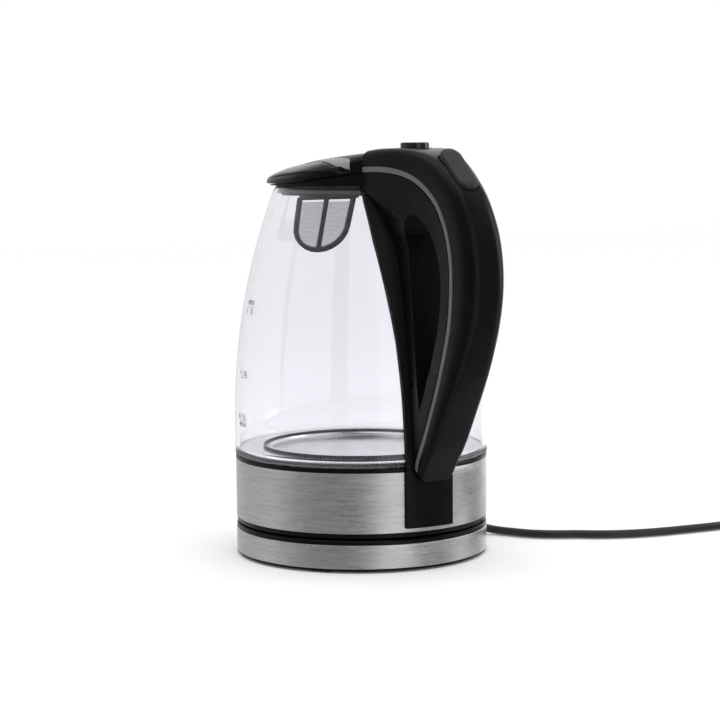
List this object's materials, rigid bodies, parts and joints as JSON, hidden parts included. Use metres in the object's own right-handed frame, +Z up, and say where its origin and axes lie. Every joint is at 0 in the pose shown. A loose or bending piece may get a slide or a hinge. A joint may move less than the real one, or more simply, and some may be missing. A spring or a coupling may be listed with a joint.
{
  "type": "electric kettle",
  "caption": "Cordless glass electric kettle on a round power base, with a hinged lid, lid button, spout filter, loop handle with a power rocker, and a mains lead.",
  "frame": {"origin": "centre of the base on the table plane, at the underside of its middle foot", "axes": "+Z up along the base and jug axis, +X towards the handle, so the spout faces -X and the lead leaves towards +Y"},
  "size_m": [0.2774, 0.4126, 0.2594],
  "materials": {
    "satin_black": "satin, fine moulded grain",
    "gloss_black": "polished",
    "rocker_black": "fine matt",
    "band_steel": "brushed around the body",
    "plate_steel": "polished, faint turning marks",
    "jug_glass": "clear",
    "clear_seal": "clear silicone, ribbed",
    "soft_seal": "dark silicone",
    "foot_rubber": "matt",
    "grey_trim": "satin",
    "contact_brass": "bright",
    "screw_steel": "plain",
    "spreader_aluminium": "cast",
    "connector_cream": "heat-proof moulding",
    "wire_cover": "sleeving",
    "lead_rubber": "satin",
    "pin_nickel": "nickel plated",
    "filter_cloth": "fine woven nylon"
  },
  "bodies": {
    "power_base": {"base_lower_shell": "satin_black", "base_steel_band": "band_steel", "base_upper_shell": "satin_black", "base_feet": "foot_rubber", "base_screws": "screw_steel", "base_connector": "connector_cream", "base_contacts": "contact_brass", "base_earth_ring": "contact_brass", "base_wires": "wire_cover", "cord_clamp": "satin_black", "cord_strain_relief": "lead_rubber", "mains_lead": "lead_rubber", "lead_coil": "lead_rubber", "plug_body": "lead_rubber", "plug_pins": "pin_nickel", "plug_earth_clips": "contact_brass"},
    "jug": {"jug_bottom_cover": "satin_black", "jug_steel_band": "band_steel", "band_top_ring": "satin_black", "glass_seal": "clear_seal", "glass_vessel": "jug_glass", "heating_plate": "plate_steel", "heat_spreader": "spreader_aluminium", "heating_element": "screw_steel", "jug_connector": "connector_cream", "jug_contacts": "contact_brass", "thermostat_control": "connector_cream", "thermostat_discs": "contact_brass", "bottom_screws": "screw_steel", "handle_frame": "satin_black", "handle_outer_shell": "satin_black", "handle_trim": "grey_trim", "handle_screws": "screw_steel", "neck_collar": "satin_black", "collar_seal": "soft_seal", "steam_duct": "connector_cream", "steam_disc": "contact_brass", "switch_block": "connector_cream", "handle_wires": "wire_cover", "filter_frame": "satin_black", "filter_mesh": "filter_cloth", "hinge_bracket": "satin_black", "hinge_pin": "screw_steel", "latch_guide": "satin_black", "rocker_axle": "screw_steel", "button_spring": "screw_steel", "switch_plunger": "satin_black"},
    "lid": {"lid_top": "gloss_black", "lid_inlays": "grey_trim", "lid_inner_plate": "satin_black", "lid_seal": "soft_seal", "lid_catch": "satin_black"},
    "button": {"lid_button": "gloss_black"},
    "latch": {"latch_slider": "satin_black"},
    "rocker": {"rocker": "rocker_black"}
  },
  "joints": [
    {"name": "jug_lift", "type": "slide", "parent": "power_base", "child": "jug", "axis": [0, 0, 1], "range_m": [0, 0.09]},
    {"name": "lid_open", "type": "hinge", "parent": "jug", "child": "lid", "pos_m": [0.0444, 0, 0.251], "axis": [0, 1, 0], "range_deg": [0, 72]},
    {"name": "lid_button_press", "type": "slide", "parent": "jug", "child": "button", "axis": [0, 0, -1], "range_m": [0, 0.0024], "stiffness_N_per_m": 600, "springref_m": -0.0006, "deforming": ["button_spring"]},
    {"name": "latch_pull", "type": "slide", "parent": "jug", "child": "latch", "axis": [1, 0, 0], "range_m": [0, 0.002]},
    {"name": "rocker_tip", "type": "hinge", "parent": "jug", "child": "rocker", "pos_m": [0.11114, 0, 0.23965], "axis": [0, -1, 0], "range_deg": [0, 8]}
  ],
  "couplings": [
    {"joint": "latch_pull", "follows": "lid_button_press", "ratio": 0.8}
  ]
}
